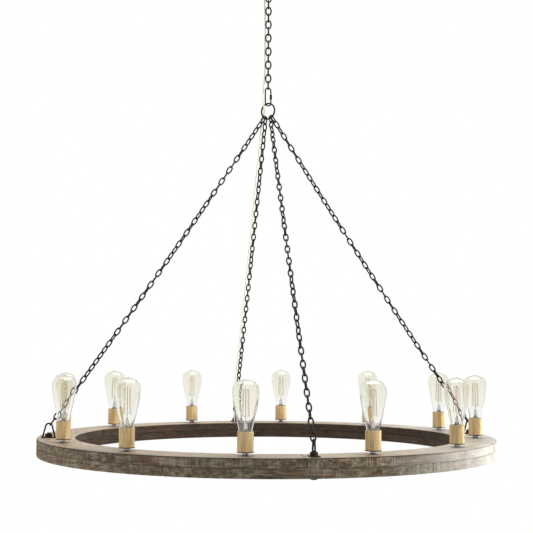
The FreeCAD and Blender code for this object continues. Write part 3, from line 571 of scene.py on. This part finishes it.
def filamentForm():
    # one wire zigzags round the cage between the low and the high anchors
    data = bpy.data.curves.new("filament", "CURVE")
    data.dimensions = "3D"
    data.bevel_depth = bulb["wire"]
    data.bevel_resolution = 1
    spline = data.splines.new("POLY")
    count = bulb["strands"] * 4
    spline.points.add(count - 1)
    for k in range(count):
        turn = 2 * math.pi * (k // 2) / (count // 2)
        high = (k // 2 + k) % 2 == 0
        wide = bulb["cageWide"] * (0.8 if high else 1.0)
        height = bulb["cageHigh"] if high else bulb["cageLow"]
        spline.points[k].co = (wide * math.cos(turn), wide * math.sin(turn), height, 1)
    spline.use_cyclic_u = True
    return meshForm(curveMesh(data))


def insideForm():
    mount = turned([(0.0122, 0.0008), (0.0088, 0.0022), (0.0060, 0.005), (0.0050, 0.010), (0.0042, 0.018),
                    (0.0040, 0.0205), (0.0022, 0.0225), (0.0013, 0.026), (0.0010, 0.034), (0.0010, 0.095),
                    (0.0022, 0.0965), (0.0022, 0.099), (0, 0.0998)], 16)
    return joined((mount, 0), (filamentForm(), 1))


def makeBulbs():
    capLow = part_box("bulb_base_01")[0].z
    for k, turn in enumerate(socketTurns):
        body = f"bulb_{k + 1:02d}"
        spot = onRim(socket["circle"], turn, glassBase)
        glass = copies(turned(bulb["profile"], 24), [spot])
        bmesh.ops.recalc_face_normals(glass, faces=glass.faces)
        finishPiece(f"bulbGlass{k + 1:02d}", glass, clearGlass, body, [f"bulb_glass_{k + 1:02d}"],
                    0, [("SUBSURF", {"levels": 2, "render_levels": 2}),
                                       ("SOLIDIFY", {"thickness": bulb["wall"], "offset": -1})])
        low = capLow - glassBase
        screw = [(bulb["crest"] - 0.0007 * (step % 2), low + 0.0055 + 0.002 * step) for step in range(7)]
        cap = turned([(0, low), (0.0045, low), (0.0052, low + 0.002), (0.0105, low + 0.004)] + screw
                     + [(bulb["crest"], -0.0003), (0.0108, -0.0003)], 32)
        finishPiece(f"bulbCap{k + 1:02d}", copies(cap, [spot]), brass, body, [f"bulb_base_{k + 1:02d}"])
        finishPiece(f"bulbInside{k + 1:02d}", copies(insideForm(), [spot]), [mountGlass, goldFilament],
                    body, ())


makeBulbs()
print("bulbs made")


# chains: each real link stands where its plain CAD link is, a little wider and in thicker wire
chain = {"wider": 1.1, "thicker": 0.2, "bow": 0.0011, "topBow": 0.0012}


def looseParts(node):
    bm = bmesh.new()
    bm.from_mesh(bpy.data.objects[node].data)
    bmesh.ops.remove_doubles(bm, verts=bm.verts, dist=0.000001)
    seen = set()
    parts = []
    for vert in bm.verts:
        if vert in seen:
            continue
        seen.add(vert)
        group = [vert]
        for member in group:
            for edge in member.link_edges:
                other = edge.other_vert(member)
                if other not in seen:
                    seen.add(other)
                    group.append(other)
        parts.append(np.array([member.co for member in group]))
    bm.free()
    return parts


def linkPlace(points):
    # a link's middle, its three ways (across, through, along) and its size along each
    middle = points.mean(0)
    ways = np.linalg.eigh(np.cov((points - middle).T))[1]
    through, across, along = ways[:, 0], ways[:, 1], ways[:, 2]
    if np.linalg.det(np.column_stack((across, through, along))) < 0:
        across = -across
    spread = [np.ptp((points - middle) @ way) for way in (across, through, along)]
    matrix = Matrix.Identity(4)
    for column, way in enumerate((across, through, along)):
        for row in range(3):
            matrix[row][column] = way[row]
    matrix.translation = Vector(middle)
    return matrix, spread


def linkForm(width, wire, length, sides=5, bends=4, bulge=0.0):
    # a round wire bent into a long ring: two half turns joined by straight or slightly bowed sides
    reach = (width - wire) / 2 - bulge
    straight = length / 2 - wire / 2 - reach
    bm = bmesh.new()
    made = bmesh.ops.create_circle(bm, cap_ends=False, segments=sides, radius=wire / 2)
    bmesh.ops.rotate(bm, verts=made["verts"], cent=(0, 0, 0), matrix=Matrix.Rotation(math.radians(18), 3, "Z"))
    bmesh.ops.translate(bm, verts=made["verts"], vec=(reach, 0, straight))
    bmesh.ops.spin(bm, geom=bm.verts[:] + bm.edges[:], cent=(0, 0, straight), axis=(0, 1, 0), dvec=(0, 0, 0),
                   angle=-math.pi, steps=bends, use_merge=False, use_duplicate=False)
    lower = bmesh.ops.duplicate(bm, geom=bm.verts[:] + bm.edges[:] + bm.faces[:])["geom"]
    bmesh.ops.rotate(bm, verts=[item for item in lower if isinstance(item, bmesh.types.BMVert)],
                     cent=(0, 0, 0), matrix=Matrix.Rotation(math.pi, 3, "Y"))
    joins = []
    for side in (-1, 1):
        rims = [edge for edge in bm.edges if edge.is_boundary and edge.verts[0].co.x * side > 0]
        joins += bmesh.ops.bridge_loops(bm, edges=rims)["edges"]
    if bulge:
        middle = bmesh.ops.subdivide_edges(bm, edges=joins, cuts=1)["geom_inner"]
        for vert in (item for item in middle if isinstance(item, bmesh.types.BMVert)):
            vert.co.x += math.copysign(bulge, vert.co.x)
    bmesh.ops.recalc_face_normals(bm, faces=bm.faces)
    return bm


def makeChain(name, node, bulge=chain["bow"]):
    places = [linkPlace(points) for points in looseParts(node)]
    width, wire, length = places[0][1]
    thicker = wire * chain["thicker"]
    form = linkForm(width * chain["wider"], wire + thicker, length + thicker, bulge=bulge)
    finishPiece(name, copies(form, [matrix for matrix, _ in places]), darkIron, wheel, [node], 0)


for side in ("left", "back", "front", "right"):
    makeChain(f"chain{side.title()}Links", f"chain_{side}")
makeChain("topChainLinks", "top_chain", chain["topBow"])
print("chains made")


# gathering ring, screw link and the first link in the ceiling loop
ringSet = {"wire": 0.0048, "across": 0.050, "turn": math.radians(-45)}
quickLink = {"wire": 0.004, "width": 0.021, "length": 0.056, "turn": math.radians(12), "nutWide": 0.0075,
             "nutHigh": 0.014}
firstLink = {"wire": 0.0041, "width": 0.019}


def ringForm(across, wire, steps=48, sides=12):
    bm = bmesh.new()
    made = bmesh.ops.create_circle(bm, cap_ends=False, segments=sides, radius=wire / 2)
    bmesh.ops.rotate(bm, verts=made["verts"], cent=(0, 0, 0), matrix=Matrix.Rotation(math.pi / 2, 3, "X"))
    bmesh.ops.translate(bm, verts=made["verts"], vec=((across - wire) / 2, 0, 0))
    bmesh.ops.spin(bm, geom=bm.verts[:] + bm.edges[:], cent=(0, 0, 0), axis=(0, 0, 1), dvec=(0, 0, 0),
                   angle=2 * math.pi, steps=steps, use_merge=True, use_duplicate=False)
    bmesh.ops.remove_doubles(bm, verts=bm.verts, dist=0.00001)
    bmesh.ops.recalc_face_normals(bm, faces=bm.faces)
    return bm


def nodeMiddle(node):
    low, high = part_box(node)
    return (low + high) / 2


def makeHangingHardware():
    ring = ringForm(ringSet["across"], ringSet["wire"])
    place = Matrix.Translation(nodeMiddle("gathering_ring")) @ Matrix.Rotation(ringSet["turn"], 4, "Z")
    finishPiece("gatheringRing", copies(ring, [place @ Matrix.Rotation(math.pi / 2, 4, "X")]), darkIron, wheel,
                ["gathering_ring"], 0)
    link = linkForm(quickLink["width"], quickLink["wire"], quickLink["length"], 12, 12)
    low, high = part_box("quick_link")
    middle = Vector((0, 0, (low.z + high.z) / 2))
    place = Matrix.Translation(middle) @ Matrix.Rotation(quickLink["turn"], 4, "Z")
    finishPiece("quickLink", copies(link, [place]), darkIron, wheel, ["quick_link"], 0)
    half = quickLink["nutHigh"] / 2
    nut = bevelSharp(prismForm(6, quickLink["nutWide"] / 2, -half, half), 0.0006)
    bmesh.ops.translate(nut, verts=nut.verts, vec=((quickLink["width"] - quickLink["wire"]) / 2, 0, 0))
    finishPiece("quickLinkNut", copies(nut, [place]), darkIron, "link_nut", ["quick_link_nut"])
    low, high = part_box("first_link")
    first = linkForm(firstLink["width"], firstLink["wire"], high.z - low.z, 12, 10)
    place = Matrix.Translation((0, 0, (low.z + high.z) / 2)) @ Matrix.Rotation(viewTurn, 4, "Z")
    finishPiece("firstLink", copies(first, [place]), darkIron, "upper_link", ["first_link"], 0)


makeHangingHardware()
print("hanging hardware made")


# brackets: plate, welded arch, bolt, washer and nut
bracket = {"circle": 0.598, "wire": 0.004, "thicker": 1.12, "foot": 0.01825, "crown": 0.011, "high": 0.0375,
           "plate": (0.023, 0.041), "plateCorner": 0.003, "bendSteps": 12}
bracketTurns = [90 * k for k in range(4)]


def tubeAlong(points, radius, sides=12, order=0):
    # a round tube whose middle follows the points
    data = bpy.data.curves.new("tube", "CURVE")
    data.dimensions = "3D"
    data.bevel_depth = radius
    data.bevel_resolution = max(0, sides // 4)
    data.use_fill_caps = True
    data.resolution_u = 6
    spline = data.splines.new("NURBS" if order else "POLY")
    spline.points.add(len(points) - 1)
    for point, place in zip(spline.points, points):
        point.co = (*place, 1)
    if order:
        spline.order_u = order
        spline.use_endpoint_u = True
    return meshForm(curveMesh(data))


def makeBrackets():
    spots = [onRim(bracket["circle"], turn) for turn in bracketTurns]
    wide, long = bracket["plate"]
    plate = bmesh.new()
    bmesh.ops.create_cube(plate, size=1.0, matrix=Matrix.Translation((0, 0, (rimTop + plateTop) / 2))
                          @ Matrix.Diagonal((wide, long, plateTop - rimTop, 1)))
    upright = [edge for edge in plate.edges if abs(edge.verts[0].co.z - edge.verts[1].co.z) > 0.001]
    bmesh.ops.bevel(plate, geom=upright, offset=bracket["plateCorner"], offset_type="OFFSET", segments=4,
                    affect="EDGES", profile=0.5, material=-1)
    bevelSharp(plate, 0.0005, 2, 60)
    finishPiece("bracketPlates", copies(plate, spots), darkIron, wheel, ["bracket_plates"])

    half = bracket["wire"] / 2
    crown = bracket["crown"] - half
    shoulder = plateTop + bracket["high"] - bracket["crown"]
    foot = bracket["foot"] - half
    line = [(0, -foot, plateTop - 0.0005), (0, -foot + 0.001, plateTop + 0.003)]
    for k in range(bracket["bendSteps"] + 1):
        turn = math.pi * k / bracket["bendSteps"]
        line.append((0, -crown * math.cos(turn), shoulder + crown * math.sin(turn)))
    line += [(0, foot - 0.001, plateTop + 0.003), (0, foot, plateTop - 0.0005)]
    bail = tubeAlong(line, half * bracket["thicker"])
    finishPiece("bracketArches", copies(bail, spots), darkIron, wheel, ["bracket_bails"], 50)

    low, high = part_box("bracket_bolts")
    washerLow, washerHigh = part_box("bracket_washers")
    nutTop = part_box("bracket_nuts")[1].z
    head = turned([(0, low.z), (0.0050, low.z), (0.0078, low.z + 0.0010), (0.0090, low.z + 0.0027),
                   (0.0091, washerLow.z), (0, washerLow.z)], 24)
    shank = turned([(0, washerLow.z), (0.0049, washerLow.z), (0.0049, high.z - 0.0007), (0.0042, high.z),
                    (0, high.z)], 20)
    finishPiece("bracketBolts", copies(joined((head, 0), (shank, 0)), spots), darkIron, wheel,
                ["bracket_bolts"])
    washer = turned([(0.0054, washerLow.z), (0.0107, washerLow.z), (0.0110, washerLow.z + 0.0003),
                     (0.0110, washerHigh.z), (0.0054, washerHigh.z), (0.0054, washerLow.z)], 32)
    finishPiece("bracketWashers", copies(washer, spots), darkIron, wheel, ["bracket_washers"])
    nut = bevelSharp(prismForm(6, 0.0085 / math.cos(math.pi / 6), plateTop, nutTop), 0.0009, 2)
    finishPiece("bracketNuts", copies(nut, spots), darkIron, wheel, ["bracket_nuts"])


makeBrackets()
print("brackets made")


# ceiling fitting
ceilingSet = {"wall": 0.0015, "hole": 0.0098, "collarHole": 0.0096, "shankHole": 0.0053, "eyeWire": 0.005,
              "eyeHalf": 0.0125}
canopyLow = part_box("canopy")[0].z
loopLow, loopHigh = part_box("ceiling_loop")


def makeCeiling():
    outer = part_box("canopy")[1].x
    hole = ceilingSet["hole"]
    inside = canopyLow + ceilingSet["wall"]
    dish = turned([(hole, canopyLow), (0.030, canopyLow), (0.040, canopyLow * 0.975), (0.048, canopyLow * 0.87),
                   (0.055, canopyLow * 0.64), (0.060, canopyLow * 0.34), (outer - 0.0005, canopyLow * 0.08),
                   (outer, 0), (outer - 0.0012, 0), (0.0588, canopyLow * 0.34), (0.0538, canopyLow * 0.62),
                   (0.047, canopyLow * 0.82), (0.0395, canopyLow * 0.925), (0.030, inside), (hole, inside),
                   (hole, canopyLow)], 96)
    finishPiece("canopyDish", dish, darkIron, ceiling, ["canopy"], 40)
    low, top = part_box("canopy_collar")
    hole = ceilingSet["collarHole"]
    collar = turned([(hole, low.z), (0.0120, low.z), (0.0130, low.z + 0.0010), (0.01325, low.z + 0.0030),
                     (0.0128, top.z - 0.0012), (0.0135, top.z), (hole, top.z), (hole, low.z)], 48)
    finishPiece("canopyCollar", collar, darkIron, ceiling, ["canopy_collar"])
    wire = ceilingSet["eyeWire"]
    barHeight = loopLow.z + wire / 2
    half = ceilingSet["eyeHalf"]
    roof = low.z - 0.0005
    middle = (roof + barHeight) / 2
    line = [(0, 0.006, roof), (0, half, roof - 0.004), (0, half + 0.0005, middle), (0, half, barHeight + 0.004),
            (0, 0.0085, barHeight), (0, 0, barHeight)]
    line = line + [(0, -y, z) for _, y, z in line[-2::-1]]
    eye = tubeAlong(line, wire / 2, order=3)
    hole = ceilingSet["shankHole"]
    shank = turned([(hole, loopHigh.z), (0.0090, loopHigh.z), (0.0095, loopHigh.z - 0.001),
                    (0.0095, low.z + 0.0005), (0.0104, low.z - 0.0005), (0.0098, low.z - 0.004),
                    (0.0068, low.z - 0.0055), (hole, low.z - 0.0050), (hole, loopHigh.z)], 32)
    loop = joined((copies(eye, [Matrix.Rotation(viewTurn, 4, "Z")]), 0), (shank, 0))
    finishPiece("ceilingLoop", loop, darkIron, ceiling, ["ceiling_loop"], 50)
    for node in ("crossbar", "canopy_nipple", "locknut"):
        mesh = bpy.data.objects[node].data
        mesh.materials.clear()
        mesh.materials.append(zinc)


makeCeiling()
print("ceiling fitting made")


# supply cord: one smooth line in three lengths, split where the chain's two top contacts let it bend
cord = {"radius": 0.002, "route": [
    (0.0000, 0.0000, -0.0180), (0.0000, 0.0000, -0.0360), (-0.0022, 0.0019, -0.0500),
    (-0.0078, 0.0071, -0.0600), (-0.0099, 0.0095, -0.0720), (-0.0092, 0.0104, -0.0900),
    (-0.0081, 0.0099, -0.1120), (-0.0078, 0.0092, -0.1600), (-0.0087, 0.0100, -0.2140),
    (-0.0078, 0.0104, -0.2660), (-0.0092, 0.0095, -0.3080), (-0.0137, 0.0041, -0.3410),
    (-0.0168, -0.0039, -0.3630), (-0.0162, -0.0069, -0.3810), (-0.0116, -0.0019, -0.3945),
    (-0.0088, 0.0088, -0.4040), (-0.0090, 0.0180, -0.4120), (-0.0113, 0.0241, -0.4260),
    (-0.0173, 0.0176, -0.4465), (-0.0162, 0.0390, -0.4841), (-0.0165, 0.0608, -0.5215),
    (-0.0166, 0.1107, -0.5997), (-0.0152, 0.1620, -0.6770), (-0.0147, 0.2132, -0.7543),
    (-0.0151, 0.2640, -0.8319), (-0.0140, 0.3156, -0.9090), (-0.0129, 0.3684, -0.9853),
    (-0.0134, 0.4216, -1.0613), (-0.0127, 0.4742, -1.1377), (-0.0113, 0.5265, -1.2143),
    (-0.0080, 0.5553, -1.2649), (-0.0070, 0.5603, -1.2929), (-0.0070, 0.5607, -1.3189),
    (-0.0070, 0.5603, -1.3509)]}
splitLevels = (-0.081, -0.136)


def smoothLine(route):
    # the route's points are the control points of one smooth spline
    data = bpy.data.curves.new("route", "CURVE")
    data.dimensions = "3D"
    data.resolution_u = 10
    spline = data.splines.new("NURBS")
    spline.points.add(len(route) - 1)
    for point, place in zip(spline.points, route):
        point.co = (*place, 1)
    spline.order_u = 3
    spline.use_endpoint_u = True
    mesh = curveMesh(data)
    line = [vert.co.copy() for vert in mesh.vertices]
    bpy.data.meshes.remove(mesh)
    return line


def cordPiece(name, line, node):
    bm = tubeAlong(line, cord["radius"])
    piece = finishPiece(name, bm, cordJacket, None, [node], 50)
    if not piece.data.uv_layers:
        piece.data.uv_layers.new(name="UVMap")
    length = sum((b - a).length for a, b in zip(line, line[1:]))
    print(name, "is", round(length, 4), "m long")
    return piece, length


def makeCord():
    line = smoothLine(cord["route"])
    first = next(k for k, point in enumerate(line) if point.z < splitLevels[0])
    second = next(k for k, point in enumerate(line) if point.z < splitLevels[1])
    top, topLength = cordPiece("cordTop", line[:first + 1], "cord_top")
    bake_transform(top)
    bend, bendLength = cordPiece("cordBend", line[first:second + 1], "cord_bend")
    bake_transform(bend)
    run, runLength = cordPiece("cordRun", line[second:], "cord_run")
    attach(run, wheel)
    low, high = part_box("cord_bush")
    middle = (low + high) / 2
    bush = turned([(0.0027, 0), (0.0062, 0), (0.0065, 0.0006), (0.0060, 0.0022), (0.0045, 0.0029),
                   (0.0031, 0.0030), (0.0027, 0.0024), (0.0027, 0)], 32)
    place = Matrix.Translation((middle.x, middle.y, low.z))
    finishPiece("cordBush", copies(bush, [place]), holderPlastic, wheel, ["cord_bush"])


makeCord()
print("cord made")


# floor, backdrop and soft light
studio = {"sky": (0.93, 0.96, 1.0, 1), "skyLevel": 0.5, "floorSize": 14, "floorDrop": 1.5, "floorGrey": 0.8}


def whiteToCamera(tree):
    # 1 where the camera, mirrors or glass look: they see plain white, all else gets the soft light
    path = addNode(tree, "LightPath")
    bounced = addMath(tree, "MAXIMUM", path.outputs["Is Glossy Ray"], path.outputs["Is Transmission Ray"])
    return addMath(tree, "MAXIMUM", path.outputs["Is Camera Ray"], bounced)


def makeStage():
    world = bpy.data.worlds.new("studio")
    bpy.context.scene.world = world
    world.use_nodes = True
    tree = world.node_tree
    background = tree.nodes["Background"]
    background.inputs[0].default_value = studio["sky"]
    background.inputs[1].default_value = studio["skyLevel"]
    white = addNode(tree, "Background", {0: (1, 1, 1, 1), 1: 1.0})
    mix = addNode(tree, "MixShader", {0: whiteToCamera(tree), 1: background.outputs[0], 2: white.outputs[0]})
    tree.links.new(mix.outputs[0], tree.nodes["World Output"].inputs[0])

    bm = bmesh.new()
    bmesh.ops.create_grid(bm, x_segments=1, y_segments=1, size=studio["floorSize"])
    bmesh.ops.translate(bm, verts=bm.verts, vec=(0, 0, rimBottom - studio["floorDrop"]))
    floor = finishPiece("floor", bm, [], None, angle=0)
    material = bpy.data.materials.new("paleFloor")
    material.use_nodes = True
    tree = material.node_tree
    shader = tree.nodes["Principled BSDF"]
    shader.inputs["Base Color"].default_value = (*grey(studio["floorGrey"]), 1)
    shader.inputs["Roughness"].default_value = 0.9
    glow = addNode(tree, "Emission", {0: (1, 1, 1, 1), 1: 1.0})
    mix = addNode(tree, "MixShader", {0: whiteToCamera(tree), 1: shader.outputs[0], 2: glow.outputs[0]})
    tree.links.new(mix.outputs[0], tree.nodes["Material Output"].inputs[0])
    floor.data.materials.append(material)


def addLamp(name, place, aim, size, power, colour=(1, 1, 1)):
    data = bpy.data.lights.new(name, "AREA")
    data.shape = "RECTANGLE"
    data.size, data.size_y = size
    data.energy = power
    data.color = colour
    lamp = bpy.data.objects.new(name, data)
    bpy.context.scene.collection.objects.link(lamp)
    towards = Vector(aim) - Vector(place)
    lamp.matrix_world = Matrix.Translation(place) @ towards.to_track_quat("-Z", "Y").to_matrix().to_4x4()
    return lamp


def fromView(x, y, z):
    return acrossView * x + depthView * y + up * z


makeStage()
aim = fromView(0, 0, rimTop)
addLamp("overheadBox", fromView(0.3, 0.2, 1.4), aim, (3.0, 3.0), 85)
rightBox = addLamp("rightBox", fromView(2.9, 0.5, rimMiddle), fromView(0.5, 0, rimMiddle), (1.6, 0.6), 125,
                   (0.88, 0.94, 1.0))
sideBox = addLamp("sideBox", fromView(3.0, -1.2, rimTop + 0.5), aim, (1.8, 2.2), 36)
leftBox = addLamp("leftBox", fromView(-3.0, -0.9, rimTop + 0.6), aim, (1.6, 2.0), 26)
frontBox = addLamp("frontBox", fromView(-0.8, -4.2, rimTop - 0.2), aim, (1.4, 1.0), 9)
for lamp in (rightBox, sideBox, leftBox, frontBox):
    # of the lamps the bulbs show only the one overhead
    lamp.visible_glossy = False
    lamp.visible_transmission = False
bpy.context.scene.view_settings.view_transform = "Standard"
